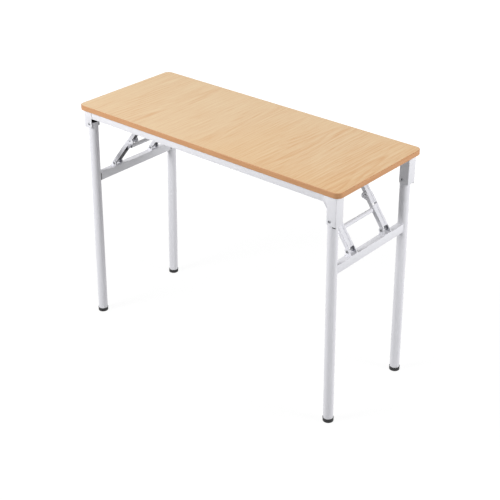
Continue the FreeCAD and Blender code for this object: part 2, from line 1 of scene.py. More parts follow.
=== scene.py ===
"""Folding desk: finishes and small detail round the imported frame, with a plain studio."""

import json
import math

import bmesh
import bpy
from bpy.props import FloatProperty, FloatVectorProperty, PointerProperty
from mathutils import Matrix, Vector

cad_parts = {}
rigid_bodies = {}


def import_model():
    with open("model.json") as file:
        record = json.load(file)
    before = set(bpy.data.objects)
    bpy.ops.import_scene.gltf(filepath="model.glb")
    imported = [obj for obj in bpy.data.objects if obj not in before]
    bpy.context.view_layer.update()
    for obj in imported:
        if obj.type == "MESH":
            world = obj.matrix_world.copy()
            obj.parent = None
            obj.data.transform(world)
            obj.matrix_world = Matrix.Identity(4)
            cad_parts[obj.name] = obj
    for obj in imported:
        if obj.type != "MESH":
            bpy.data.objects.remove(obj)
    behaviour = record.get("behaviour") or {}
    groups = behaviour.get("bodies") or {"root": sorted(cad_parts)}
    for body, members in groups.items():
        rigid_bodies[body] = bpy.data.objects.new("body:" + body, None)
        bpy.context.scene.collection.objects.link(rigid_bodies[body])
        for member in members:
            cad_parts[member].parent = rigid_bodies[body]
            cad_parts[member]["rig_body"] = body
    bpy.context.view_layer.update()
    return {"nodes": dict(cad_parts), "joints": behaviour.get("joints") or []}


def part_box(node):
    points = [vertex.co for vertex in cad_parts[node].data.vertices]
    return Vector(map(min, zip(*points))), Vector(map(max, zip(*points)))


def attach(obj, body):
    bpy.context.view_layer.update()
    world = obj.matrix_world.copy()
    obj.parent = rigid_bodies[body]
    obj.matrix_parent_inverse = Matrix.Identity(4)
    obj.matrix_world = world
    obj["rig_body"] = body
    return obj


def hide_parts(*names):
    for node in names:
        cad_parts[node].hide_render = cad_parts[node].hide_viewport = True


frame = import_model()
nodes = frame["nodes"]
joints = {joint["name"]: joint for joint in frame["joints"]}

bl_info = {
    "name": "Folding desk",
    "version": (1, 0, 0),
    "blender": (4, 5, 0),
    "location": "3D View > Sidebar > Desk",
    "description": "Dresses the packed folding desk and sets a plain studio",
    "category": "Object",
}

ENDS = ("left", "right")
SIDES = ("front", "rear")
INWARD = {"left": 1, "right": -1}
FACING = {"front": 1, "rear": -1}
MM = 0.001
MERGE = 1e-6

# Edges flatter than the first angle are dissolved, sharper than the second are rounded, and
# sharper than the third are shaded hard.
FLAT_ANGLE = math.radians(0.5)
HARD_ANGLE = math.radians(40)
SMOOTH_ANGLE = math.radians(32)
RIGHT_ANGLE = 90
FULL_TURN = 2 * math.pi

# Steps round a full turn, a rounded edge, a bead and the arc of a weld.
ROUND_STEPS = 32
TUBE_STEPS = 3
BAND_STEPS = 3
SHEET_STEPS = 2
BEAD_STEPS = 3
WELD_STEPS = 12

# The finish of each material slot of the imported record, and the one of the washers, whose dark steel is
# painted shade inside the brace feet.
SLOTS = {name: item.data.materials[0].name for name, item in nodes.items()}
FINISHES = {
    "wood_laminate": "wood_laminate_grain",
    "edge_banding": "edge_band_grain",
    "frame_paint": "frame_powder_coat",
    "brace_steel": "brace_powder_coat",
    "fastener_steel": "plated_steel",
    # Black plastic for the feet, and for the pieces that paint shade.
    "foot_plastic": "black_plastic_and_shade",
}
FOOT_SHADE_FINISH = "washer_painted_shade"

# How a screen colour turns into light.
SCREEN_FULL = 255
SCREEN_KNEE = 0.04045
SCREEN_SLOPE = 12.92
SCREEN_LIFT = 0.055
SCREEN_POWER = 2.4


def linear(red, green, blue):
    """A screen colour, each part out of 255, as scene linear values."""
    parts = []
    for part in (red, green, blue):
        share = part / SCREEN_FULL
        if share <= SCREEN_KNEE:
            parts.append(share / SCREEN_SLOPE)
        else:
            parts.append(((share + SCREEN_LIFT) / (1 + SCREEN_LIFT)) ** SCREEN_POWER)
    return tuple(parts)


def colour(name, description, shade):
    """A colour that a user may change."""
    return FloatVectorProperty(name=name, description=description, subtype="COLOR", size=3,
                               min=0, max=1, default=linear(*shade))


def length(name, description, millimetres):
    """A length that a user may change."""
    return FloatProperty(name=name, description=description, subtype="DISTANCE", unit="LENGTH",
                         min=0, default=millimetres * MM, precision=5)


class DeskColours(bpy.types.PropertyGroup):
    """The colours of the desk's finishes."""

    # The pale and warm wood are also mixed by a painted sheen that pales the top towards the left and the
    # back.
    wood_light: colour("Light wood", "Pale part of the grain on the top", (230, 205, 168))
    wood_dark: colour("Dark wood", "Dark lines of the grain on the top", (207, 153, 102))
    wood_warm: colour("Warm wood", "Warmer patches of the top", (228, 193, 146))
    band: colour("Edge band", "Band round the edge of the top", (204, 153, 109))
    band_dark: colour("Edge band grain", "Dark streaks of the edge band", (182, 129, 87))
    backing: colour("Underside", "Backing sheet under the top", (226, 222, 212))
    paint: colour("Frame paint", "Powder coat of the steel frame", (229, 229, 234))
    brace: colour("Brace paint", "Coat of the folding braces", (229, 229, 235))
    rivet: colour("Rivets", "Plated steel of rivets and screws", (188, 189, 193))
    # Dark on purpose: the washers paint the shade inside a brace foot.
    washer: colour("Washers", "Dark steel of the shade_washers inside a brace foot", (136, 137, 145))
    # Also the black of the pieces that paint shade: leg and crossbar plugs, link liners, rivet stem ends
    # and bracket buffers.
    foot: colour("Feet", "Black plastic of the foot caps", (20, 20, 22))
    floor: colour("Floor", "Studio floor", (172, 172, 172))


class DeskSizes(bpy.types.PropertyGroup):
    """The sizes of what is added to the frame."""

    camera_lens: FloatProperty(name="Lens", description="Focal length of the studio camera",
                               subtype="DISTANCE_CAMERA", default=80.43)
    tube_edge: length("Tube edge", "Rounding of the square tubes", 1.5)
    sheet_edge: length("Sheet edge", "Rounding of cut sheet edges", 0.3)
    band_edge: length("Band edge", "Rounding of the edge band", 1.6)
    dish_share: FloatProperty(name="Rivet hole", subtype="FACTOR", min=0.1, max=0.6, default=0.5,
                              description="Radius of a rivet's hole as a share of its head")
    hole_depth: length("Rivet hole depth", "Depth of a rivet's hole below its head", 3)
    # The washers are dark discs that paint the shade inside a brace foot.
    washer_radius: length("Washer", "Radius of the shade_washers inside a brace foot", 7.6)
    washer_wall: length("Washer thickness", "Thickness of the shade_washers inside a brace foot", 1.2)
    washer_spread: length("Washer place", "Distance of a washer from the middle of its brace", 10.9)
    pin_radius: length("Pin", "Radius of the pins at the brace feet", 3)
    screw_shank: length("Screw shank", "Radius of a screw below its head", 2)
    screw_flat: length("Screw flat", "Radius of the flat on a screw's head", 3.4)
    screw_head: length("Screw head", "Height of a screw's head", 2.4)
    recess_reach: length("Recess reach", "Length of an arm of a screw's cross recess", 2.5)
    recess_arm: length("Recess arm", "Half the width of an arm of a screw's cross recess", 0.5)
    recess_depth: length("Recess depth", "Depth of a screw's cross recess", 1.5)
    bar_width: length("Crossbar width", "Width of the leg crossbars", 20)
    bar_height: length("Crossbar height", "Height of the leg crossbars", 26)
    bead_radius: length("Weld bead", "Radius of a weld bead", 1.3)
    leg_crown: length("Leg crown", "Height of a leg's end above its pivot", 5)
    # The leg plug is a black dome that paints the shade of a leg tube's open end.
    shade_dome_rise: length("Plug dome", "Height of the end_shade in the top of a leg", 2)
    # The crossbar plug is a black strip that paints the shade of the gap by the leg.
    gap_shade_width: length("Plug rim", "Width of the rim of a crossbar end_shade", 3)
    # The liners are black strips that paint the shade inside the links' channels.
    channel_shade_width: length("Lower channel_shade width", "Width of the strip in a lower link", 19)
    head_channel_shade_width: length("Upper channel_shade width", "Width of the strip in an upper link", 17)
    channel_shade_depth: length("Liner depth", "Thickness of the strip in a link", 9)
    channel_shade_level: length("Liner level", "Height of the strip over the line of the pivots", 7.2)
    channel_shade_start: length("Liner start", "Distance from a link's outer pivot to its strip", 12)
    channel_shade_stop: length("Lower channel_shade stop", "Distance from the knee to a lower link's strip", 56)
    head_channel_shade_stop: length("Upper channel_shade stop", "Distance from the knee to an upper link's strip", 6)
    sheet_wall: length("Bracket wall", "Thickness of a leg bracket's sheet", 1.6)
    # The buffer is a black block that paints the bracket's shadow on the leg.
    corner_shade_width: length("Buffer width", "Width of the corner_shade in a right bracket", 10.5)
    corner_shade_wall: length("Buffer thickness", "Thickness of the corner_shade in a right bracket", 2.4)
    corner_shade_rise: length("Buffer rise", "Height of the corner_shade inside a right bracket", 9)
    corner_shade_drop: length("Buffer drop", "Height of the corner_shade below a right bracket", 4)
    rim_radius: length("Foot rim", "Radius of the rolled rim of a foot cap", 0.8)
    ripple_pitch: length("Weld ripple", "Distance between the ripples of a weld", 2.2)
    floor_reach: length("Floor", "Half the width of the studio floor", 14000)


class Wire:
    """A socket of a node tree; arithmetic on it adds Math nodes."""

    def __init__(self, finish, socket):
        self.finish = finish
        self.socket = socket

    def calc(self, operation, *others):
        """One Math node on this socket and any others."""
        return self.finish.maths(operation, self, *others)

    def __add__(self, other):
        return self.calc("ADD", other)

    def __radd__(self, other):
        return self.calc("ADD", other)

    def __sub__(self, other):
        return self.calc("SUBTRACT", other)

    def __rsub__(self, other):
        return self.finish.maths("SUBTRACT", other, self)

    def __mul__(self, other):
        return self.calc("MULTIPLY", other)

    def __rmul__(self, other):
        return self.calc("MULTIPLY", other)

    def other(self, name):
        """Another output of the same node."""
        return Wire(self.finish, self.socket.node.outputs[name])


# Places of the colour sockets on a Mix node.
MIX_FIRST = 6
MIX_SECOND = 7
MIX_RESULT = 2
BUMP_REACH = 0.0003


class Finish:
    """A material or a world that is built node by node."""

    def __init__(self, holder):
        self.holder = holder
        self.holder.use_nodes = True
        self.tree = self.holder.node_tree
        self.tree.nodes.clear()

    def node(self, kind, settings=None, sockets=None, output=0):
        """A node of a kind: its settings first, then its sockets by place or by name."""
        made = self.tree.nodes.new(f"ShaderNode{kind}")
        for key, value in (settings or {}).items():
            if key == "stops":
                self.set_stops(made.color_ramp, value)
            else:
                setattr(made, key, value)
        for key, value in (sockets or {}).items():
            self.feed(made.inputs[key], value)
        return Wire(self, made.outputs[output]) if made.outputs else None

    def feed(self, socket, value):
        """Link a wire to a socket, or set the socket's own value."""
        if isinstance(value, Wire):
            self.tree.links.new(value.socket, socket)
        elif socket.type == "RGBA" and len(value) == 3:
            socket.default_value = (*value, 1)
        else:
            socket.default_value = value

    def set_stops(self, ramp, stops):
        """The stops of a colour ramp, as places and grey levels."""
        while len(ramp.elements) < len(stops):
            ramp.elements.new(1)
        for element, (place, level) in zip(ramp.elements, stops):
            element.position = place
            element.color = (level, level, level, 1)

    def maths(self, operation, *values):
        """One Math node on values and wires."""
        return self.node("Math", {"operation": operation}, dict(enumerate(values)))

    def place(self):
        """Where a point lies on the desk at rest."""
        return self.node("TexCoord", output="Object")

    def noise(self, scale, detail, roughness, lift=(0, 0, 0)):
        """Grey noise with so many swings to the metre along each axis."""
        place = self.node("Mapping", None, {"Vector": self.place(), "Scale": scale, "Location": lift})
        return self.node("TexNoise", None, {"Vector": place, "Scale": 1.0, "Detail": detail,
                                            "Roughness": roughness})

    def ramp(self, wire, stops):
        """A grey ramp over a value."""
        return self.node("ValToRGB", {"stops": stops}, {0: wire})

    def mix(self, share, first, second):
        """Two colours mixed by a share."""
        return self.node("Mix", {"data_type": "RGBA"},
                         {"Factor": share, MIX_FIRST: first, MIX_SECOND: second}, MIX_RESULT)

    def bump(self, height, strength):
        """A bumped normal from a height."""
        return self.node("Bump", None, {"Strength": strength, "Distance": BUMP_REACH, "Height": height})

    def coat(self, sockets):
        """The shader of the material and its output."""
        shader = self.node("BsdfPrincipled", None, sockets)
        self.node("OutputMaterial", None, {"Surface": shader})


def scaled(shade, share):
    """A colour made darker or lighter."""
    return tuple(part * share for part in shade)


# Wood noise: swings to the metre along each axis, detail, roughness and a shift where one is needed.
WOOD_SWAY = ((4.0, 1.2, 1.0), 3.0, 0.5)
WOOD_PATCH = ((11.0, 3.0, 1.0), 2.0, 0.55, (3.7, 1.9, 0.0))
WOOD_CLOUD = ((2.4, 1.6, 1.0), 2.0, 0.5, (9.1, 4.3, 0.0))
WOOD_FIBRE = ((210.0, 5.0, 20.0), 6.0, 0.72)
WOOD_PORE = ((430.0, 26.0, 30.0), 2.0, 0.5)
BACKING_FLECK = ((170.0, 130.0, 20.0), 4.0, 0.65)

# Wood ramps: a place and a grey level for each stop.
LINE_STOPS = ((0.0, 0.0), (0.4, 0.12), (0.84, 1.0), (1.0, 0.0))
STRONG_STOPS = ((0.42, 0.06), (0.68, 1.0))
DASH_STOPS = ((0.55, 0.0), (0.7, 1.0))
FIBRE_STOPS = ((0.36, 0.0), (0.66, 1.0))
TONE_STOPS = ((0.43, 0.0), (0.87, 1.0))
FLECK_STOPS = ((0.36, 0.0), (0.7, 1.0))

# Arches of the grain: where they start, half their spacing, how they sway and how round their tips are.
NOISE_MIDDLE = 0.5
ARCH_START = 0.53
ARCH_SWAY = 0.16
ARCH_HALF = 0.125
ARCH_TIP = 0.0005
RINGS_TO_METRE = 84
RING_SLANT = 4.0
RING_SWAY = 1.8
RING_FIBRE = 1.1

# How much each kind of grain darkens the wood, and how the warm colour and the contrast change along the
# top; the colour's drift along and across the top is painted sheen, paler towards the left and the back.
LINE_SHARE = 0.36
FIBRE_SHARE = 0.42
DASH_SHARE = 0.16
CONTRAST_ALONG = 0.4
TONE_CLOUD = 0.8
# Painted sheen: the colour drifts to the pale wood towards the left and the back of the top.
SHEEN_ALONG = 0.75
SHEEN_ACROSS = 0.45
BACKING_FLECKS = 0.6
BACKING_CLOUD = 0.4
BACKING_SHADE = 0.86
BACKING_MARGIN = 0.4 * MM
WOOD_ROUGH = 0.5
WOOD_ROUGH_SWING = 0.16
WOOD_SHINE = 0.3
WOOD_BUMP = 0.16
PORE_DEPTH = 0.6


def finish_wood(shades):
    """Pale wood laminate: arched grain and fine fibres that run across the depth of the desk."""
    wood = Finish(bpy.data.materials.new(FINISHES["wood_laminate"]))
    along = wood.node("SeparateXYZ", None, {0: wood.place()}, "X")
    across = along.other("Y")
    height = along.other("Z")
    sway = wood.noise(*WOOD_SWAY)
    patch = wood.noise(*WOOD_PATCH)
    cloud = wood.noise(*WOOD_CLOUD)
    fibre = wood.noise(*WOOD_FIBRE)
    pore = wood.noise(*WOOD_PORE)
    arch = (along + ARCH_START + (sway - NOISE_MIDDLE) * ARCH_SWAY).calc("PINGPONG", ARCH_HALF)
    ring = (arch * arch + ARCH_TIP).calc("SQRT") * RINGS_TO_METRE
    ring = ring + across * RING_SLANT + sway * RING_SWAY + fibre * RING_FIBRE
    line = wood.ramp(ring.calc("FRACT"), LINE_STOPS)
    strong = wood.ramp(patch, STRONG_STOPS)
    dash = wood.ramp(pore, DASH_STOPS)
    share = line * strong * LINE_SHARE + wood.ramp(fibre, FIBRE_STOPS) * FIBRE_SHARE + dash * DASH_SHARE
    share = share * (along * CONTRAST_ALONG + 1.0)
    # Random warm patches, plus a painted sheen that pales the top towards the left and the back.
    tone_and_sheen = cloud * TONE_CLOUD + along * SHEEN_ALONG - across * SHEEN_ACROSS
    base = wood.mix(wood.ramp(tone_and_sheen, TONE_STOPS), shades.wood_light, shades.wood_warm)
    base = wood.mix(share, base, shades.wood_dark)
    fleck = wood.ramp(wood.noise(*BACKING_FLECK), FLECK_STOPS)
    sheet = wood.mix(fleck * BACKING_FLECKS + cloud * BACKING_CLOUD, shades.backing,
                     scaled(shades.backing, BACKING_SHADE))
    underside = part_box("desk_top")[0].z + BACKING_MARGIN
    base = wood.mix(height.calc("LESS_THAN", underside), base, sheet)
    wood.coat({"Base Color": base, "Roughness": WOOD_ROUGH + fibre * WOOD_ROUGH_SWING,
               "Specular IOR Level": WOOD_SHINE,
               "Normal": wood.bump(fibre - dash * PORE_DEPTH, WOOD_BUMP)})


BAND_STREAK = ((7.0, 7.0, 620.0), 3.0, 0.6)
BAND_CLOUD = ((14.0, 14.0, 60.0), 2.0, 0.5)
BAND_STOPS = ((0.34, 0.0), (0.72, 1.0))
BAND_STREAK_SHARE = 0.75
BAND_CLOUD_SHARE = 0.25
BAND_DARK_SHARE = 0.75
BAND_ROUGH = 0.42
BAND_ROUGH_SWING = 0.12
BAND_SHINE = 0.4
BAND_BUMP = 0.12


def finish_band(shades):
    """Edge band with streaks along the edge."""
    band = Finish(bpy.data.materials.new(FINISHES["edge_banding"]))
    streak = band.noise(*BAND_STREAK)
    cloud = band.noise(*BAND_CLOUD)
    share = band.ramp(streak * BAND_STREAK_SHARE + cloud * BAND_CLOUD_SHARE, BAND_STOPS)
    base = band.mix(share * BAND_DARK_SHARE, shades.band, shades.band_dark)
    band.coat({"Base Color": base, "Roughness": BAND_ROUGH + streak * BAND_ROUGH_SWING,
               "Specular IOR Level": BAND_SHINE, "Normal": band.bump(streak, BAND_BUMP)})


PAINT_PEEL = ((760.0, 760.0, 760.0), 2.0, 0.5)
PAINT_CLOUD = ((11.0, 11.0, 11.0), 3.0, 0.55)
PAINT_SPECK = ((240.0, 240.0, 240.0), 1.0, 0.5)
SPECK_STOPS = ((0.73, 0.0), (0.8, 1.0))
PAINT_CLOUD_SHARE = 0.5
PAINT_SPECK_SHARE = 0.35
PAINT_SHADE = 0.9
FRAME_ROUGH = 0.38
BRACE_ROUGH = 0.32
PAINT_ROUGH_SWING = 0.14
PAINT_SHINE = 0.45
PAINT_BUMP = 0.14


def finish_paint(name, shade, rough):
    """Powder coat: an even colour with a fine orange peel and a few faint specks."""
    paint = Finish(bpy.data.materials.new(name))
    peel = paint.noise(*PAINT_PEEL)
    cloud = paint.noise(*PAINT_CLOUD)
    speck = paint.ramp(paint.noise(*PAINT_SPECK), SPECK_STOPS)
    base = paint.mix(cloud * PAINT_CLOUD_SHARE + speck * PAINT_SPECK_SHARE, shade,
                     scaled(shade, PAINT_SHADE))
    paint.coat({"Base Color": base, "Roughness": rough + cloud * PAINT_ROUGH_SWING,
                "Specular IOR Level": PAINT_SHINE, "Normal": paint.bump(peel, PAINT_BUMP)})


STEEL_CLOUD = ((320.0, 320.0, 320.0), 3.0, 0.55)
STEEL_SHADE = 0.66
STEEL_METAL = 0.75
STEEL_ROUGH = 0.3
STEEL_ROUGH_SWING = 0.22


def finish_steel(name, shade):
    """Plated steel with faint clouding."""
    steel = Finish(bpy.data.materials.new(name))
    cloud = steel.noise(*STEEL_CLOUD)
    base = steel.mix(cloud, shade, scaled(shade, STEEL_SHADE))
    steel.coat({"Base Color": base, "Metallic": STEEL_METAL,
                "Roughness": STEEL_ROUGH + cloud * STEEL_ROUGH_SWING})


FOOT_GRIT = ((1300.0, 1300.0, 1300.0), 2.0, 0.5)
FOOT_GRIT_SHARE = 0.5
FOOT_SHADE = 2.0
FOOT_ROUGH = 0.42
FOOT_ROUGH_SWING = 0.2
FOOT_BUMP = 0.2


def finish_foot(shades):
    """Black moulded plastic with a fine grit, for the foot caps and for the black pieces that paint shade.
    """
    foot = Finish(bpy.data.materials.new(FINISHES["foot_plastic"]))
    grit = foot.noise(*FOOT_GRIT)
    base = foot.mix(grit * FOOT_GRIT_SHARE, shades.foot, scaled(shades.foot, FOOT_SHADE))
    foot.coat({"Base Color": base, "Roughness": FOOT_ROUGH + grit * FOOT_ROUGH_SWING,
               "Normal": foot.bump(grit, FOOT_BUMP)})


def dress(node, material):
    """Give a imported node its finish."""
    mesh = nodes[node].data
    for index in range(len(mesh.materials)):
        mesh.materials[index] = material


def add_piece(name, mesh, body, slot, replaced=(), finish=None):
    """Put a finished mesh in the scene, on its body and with its finish."""
    mesh.materials.clear()
    mesh.materials.append(bpy.data.materials[finish or FINISHES[slot]])
    mesh.shade_smooth()
    mesh.set_sharp_from_angle(angle=SMOOTH_ANGLE)
    piece = bpy.data.objects.new(name, mesh)
    bpy.context.scene.collection.objects.link(piece)
    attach(piece, body)
    if replaced:
        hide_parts(*replaced)


def mesh_of(name, shape):
    """A shape's mesh; the shape is used up."""
    mesh = bpy.data.meshes.new(name)
    shape.to_mesh(mesh)
    shape.free()
    return mesh


def finish_shape(name, shape, body, slot, replaced=(), finish=None):
    """Turn a built shape into a piece with its normals outward."""
    bmesh.ops.recalc_face_normals(shape, faces=shape.faces)
    add_piece(name, mesh_of(name, shape), body, slot, replaced, finish)


def merged(node):
    """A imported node's mesh with its split points joined again."""
    shape = bmesh.new()
    shape.from_mesh(nodes[node].data)
    bmesh.ops.remove_doubles(shape, verts=shape.verts, dist=MERGE)
    return shape


def faces_out(edge):
    """Whether an edge lies on the outer rim of a ring round the middle of the desk."""
    middle = (edge.verts[0].co + edge.verts[1].co) / 2
    outward = [face.normal.x * middle.x + face.normal.y * middle.y for face in edge.link_faces]
    return max(outward) > MERGE


def round_edges(shape, edges, width, steps):
    """Round some edges of a shape."""
    bmesh.ops.bevel(shape, geom=edges, offset=width, offset_type="OFFSET", affect="EDGES",
                    segments=steps, profile=0.5, material=-1, clamp_overlap=True)


def soften(node, width, steps, pick=None):
    """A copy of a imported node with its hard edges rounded, in the node's place."""
    shape = merged(node)
    bmesh.ops.dissolve_limit(shape, angle_limit=FLAT_ANGLE, verts=shape.verts, edges=shape.edges)
    hard = [edge for edge in shape.edges if edge.calc_face_angle(0) > HARD_ANGLE]
    hard = [edge for edge in hard if pick is None or pick(edge)]
    round_edges(shape, hard, width, steps)
    name = f"{node}_rounded"
    add_piece(name, mesh_of(name, shape), nodes[node]["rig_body"], SLOTS[node], (node,))


def end_turn(end):
    """The small turn that leans a leg frame out from upright."""
    lean = math.radians(joints[f"{end}_leg_fold"]["range_deg"][1] - RIGHT_ANGLE)
    return Matrix.Rotation(INWARD[end] * lean, 4, "Y")


def leg_tube(node):
    """The place across the desk of a leg's middle, and the leg's radius."""
    low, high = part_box(node)
    return (low.y + high.y) / 2, (high.y - low.y) / 2


def spin_outline(shape, outline, middle, axis):
    """Spin points, each a distance from the axis and a height along it, into a solid."""
    side = Vector((1, 0, 0))
    verts = [shape.verts.new(middle + side * across + axis * along) for across, along in outline]
    edges = [shape.edges.new(pair) for pair in zip(verts, verts[1:])]
    bmesh.ops.spin(shape, geom=verts + edges, cent=middle, axis=axis, angle=FULL_TURN,
                   steps=ROUND_STEPS, use_merge=True)
    bmesh.ops.remove_doubles(shape, verts=shape.verts, dist=MERGE)


def block(low, high, width):
    """A block between two corners with rounded edges."""
    shape = bmesh.new()
    place = Matrix.Translation((low + high) / 2) @ Matrix.Diagonal((*(high - low), 1))
    bmesh.ops.create_cube(shape, size=1, matrix=place)
    round_edges(shape, shape.edges[:], width, SHEET_STEPS)
    return shape


def lay_bead(name, spots, body, slot, radius, ripple, closed):
    """A round bead along a line of points, thinner at every other point."""
    line = bpy.data.curves.new(name, "CURVE")
    line.dimensions = "3D"
    line.bevel_depth = radius
    line.bevel_resolution = BEAD_STEPS
    spline = line.splines.new("POLY")
    spline.points.add(len(spots) - 1)
    for number, (point, spot) in enumerate(zip(spline.points, spots)):
        point.co = (*spot, 1)
        point.radius = 1 if number % 2 else ripple
    spline.use_cyclic_u = closed
    line.use_fill_caps = not closed
    holder = bpy.data.objects.new(name, line)
    mesh = bpy.data.meshes.new_from_object(holder)
    bpy.data.objects.remove(holder)
    bpy.data.curves.remove(line)
    mesh.name = name
    add_piece(name, mesh, body, slot)


def islands(shape):
    """The separate solids of a shape, each as its points and its low and high corner."""
    left = set(shape.verts)
    found = []
    while left:
        island = [left.pop()]
        for vert in island:
            for edge in vert.link_edges:
                other = edge.other_vert(vert)
                if other in left:
                    left.remove(other)
                    island.append(other)
        low = Vector([min(vert.co[axis] for vert in island) for axis in range(3)])
        high = Vector([max(vert.co[axis] for vert in island) for axis in range(3)])
        found.append((island, low, high))
    found.sort(key=lambda item: tuple(item[1]))
    return found


def rivet_boxes(node):
    """Each rivet of a node: its low and high corner, shaft radius and head height."""
    shape = merged(node)
    found = []
    for island, low, high in islands(shape):
        middle = (low + high) / 2
        spread = [(math.hypot(vert.co.x - middle.x, vert.co.z - middle.z), abs(vert.co.y - middle.y))
                  for vert in island]
        reach = max(across for across, along in spread)
        under = min(along for across, along in spread if across > reach - MERGE)
        inner = [across for across, along in spread
                 if abs(along - under) < MERGE and across < reach - MERGE]
        shaft = max(inner, default=reach / 2)
        found.append((low, high, shaft, (high.y - low.y) / 2 - under))
    shape.free()
    return found


class DESK_OT_finishes(bpy.types.Operator):
    """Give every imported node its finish"""

    bl_idname = "desk.finishes"
    bl_label = "Finishes"

    def execute(self, context):
        shades = context.scene.desk_colours
        finish_wood(shades)
        finish_band(shades)
        finish_paint(FINISHES["frame_paint"], shades.paint, FRAME_ROUGH)
        finish_paint(FINISHES["brace_steel"], shades.brace, BRACE_ROUGH)
        finish_steel(FINISHES["fastener_steel"], shades.rivet)
        # Dark washers as painted shade inside the brace feet.
        finish_steel(FOOT_SHADE_FINISH, shades.washer)
        finish_foot(shades)
        for name, slot in SLOTS.items():
            dress(name, bpy.data.materials[FINISHES[slot]])
        return {"FINISHED"}


class DESK_OT_rim(bpy.types.Operator):
    """Round the outer edges of the edge band"""

    bl_idname = "desk.rim"
    bl_label = "Edge band"

    def execute(self, context):
        soften("edge_band", context.scene.desk_sizes.band_edge, BAND_STEPS, faces_out)
        return {"FINISHED"}


class DESK_OT_tubes(bpy.types.Operator):
    """Round the edges of the rails, cross tubes and crossbars"""

    bl_idname = "desk.tubes"
    bl_label = "Square tubes"

    def execute(self, context):
        width = context.scene.desk_sizes.tube_edge
        for side in SIDES:
            soften(f"{side}_rail", width, TUBE_STEPS)
        for end in ENDS:
            soften(f"{end}_cross_tube", width, TUBE_STEPS)
            soften(f"{end}_leg_crossbar", width, TUBE_STEPS)
        return {"FINISHED"}


class DESK_OT_sheets(bpy.types.Operator):
    """Round the cut edges of brackets, forks and links"""

    bl_idname = "desk.sheets"
    bl_label = "Brackets and links"

    def execute(self, context):
        width = context.scene.desk_sizes.sheet_edge
        for end in ENDS:
            for side in SIDES:
                for kind in ("leg_bracket", "clevis", "brace_hanger", "upper_link", "lower_link"):
                    soften(f"{side}_{end}_{kind}", width, SHEET_STEPS)
        return {"FINISHED"}


# A rivet: shares of the radius of its hole or head, and shares of the head's height below its crown.
HOLE_LIP = ((1, 0.25), (1.12, 0.04), (1.3, 0))
HEAD_DOME = ((0.72, 0.1), (0.93, 0.42), (1, 0.75))

# A black stem end in each rivet hole, painted shade for the dark inside of the hole: how far its end is
# sunk, its flat and its side, its rounding and its length.
HOLE_SHADE_SINK = 0.45
HOLE_SHADE_FLAT = 0.7
HOLE_SHADE_SIDE = 0.96
HOLE_SHADE_ROUNDING = 0.12
HOLE_SHADE_LENGTH = 0.8


class DESK_OT_rivets(bpy.types.Operator):
    """Turn dished rivets for the legs, brace heads and brace feet"""

    bl_idname = "desk.rivets"
    bl_label = "Rivets"

    def execute(self, context):
        sizes = context.scene.desk_sizes
        for end in ENDS:
            for kind in ("leg_rivets", "hanger_rivets", "clevis_rivets"):
                self.turn_rivets(f"{end}_{kind}", sizes)
        return {"FINISHED"}

    def turn_rivets(self, node, sizes):
        """One mesh with a dished rivet in the place of each of a node's rivets, and one of black stem ends
        that paint the shade inside the rivets' holes.
        """
        shape = bmesh.new()
        hole_shades = bmesh.new()
        for low, high, shaft, head in rivet_boxes(node):
            self.turn_one(shape, low, high, shaft, head, sizes)
            for facing in FACING.values():
                self.turn_hole_shade(hole_shades, low, high, head, facing, sizes)
        body = nodes[node]["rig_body"]
        finish_shape(f"{node}_dished", shape, body, SLOTS[node], (node,))
        # Black stem ends as painted shade in the rivets' holes.
        finish_shape(f"{node}_stems", hole_shades, body, "foot_plastic")

    def turn_hole_shade(self, shape, low, high, head, facing, sizes):
        """Spin the black stem end in a rivet's hole, painted shade for the dark hole."""
        half = (high.y - low.y) / 2
        dish = (high.x - low.x) / 2 * sizes.dish_share
        top = half - head * HOLE_SHADE_SINK
        bottom = half - head - sizes.hole_depth * HOLE_SHADE_LENGTH
        outline = [(0, top), (dish * HOLE_SHADE_FLAT, top), (dish * HOLE_SHADE_SIDE, top - head * HOLE_SHADE_ROUNDING),
                   (dish * HOLE_SHADE_SIDE, bottom), (0, bottom)]
        spin_outline(shape, outline, (low + high) / 2, Vector((0, facing, 0)))

    def turn_one(self, shape, low, high, shaft, head, sizes):
        """Spin a rivet's outline, the same at both ends, about its axis."""
        radius = (high.x - low.x) / 2
        half = (high.y - low.y) / 2
        under = half - head
        bottom = under - sizes.hole_depth
        dish = radius * sizes.dish_share
        outline = [(0, bottom), (dish, bottom)]
        outline += [(dish * across, half - head * down) for across, down in HOLE_LIP]
        outline += [(radius * across, half - head * down) for across, down in HEAD_DOME]
        outline += [(radius, under), (shaft, under)]
        outline += [(across, -along) for across, along in reversed(outline)]
        spin_outline(shape, outline, (low + high) / 2, Vector((0, 1, 0)))


# A screw: shares of the head's radius and height, and how much its recess narrows.
SCREW_CROWN = ((0.92, 0.22), (1, 0.5), (1, 1))
RECESS_TAPER = 0.72


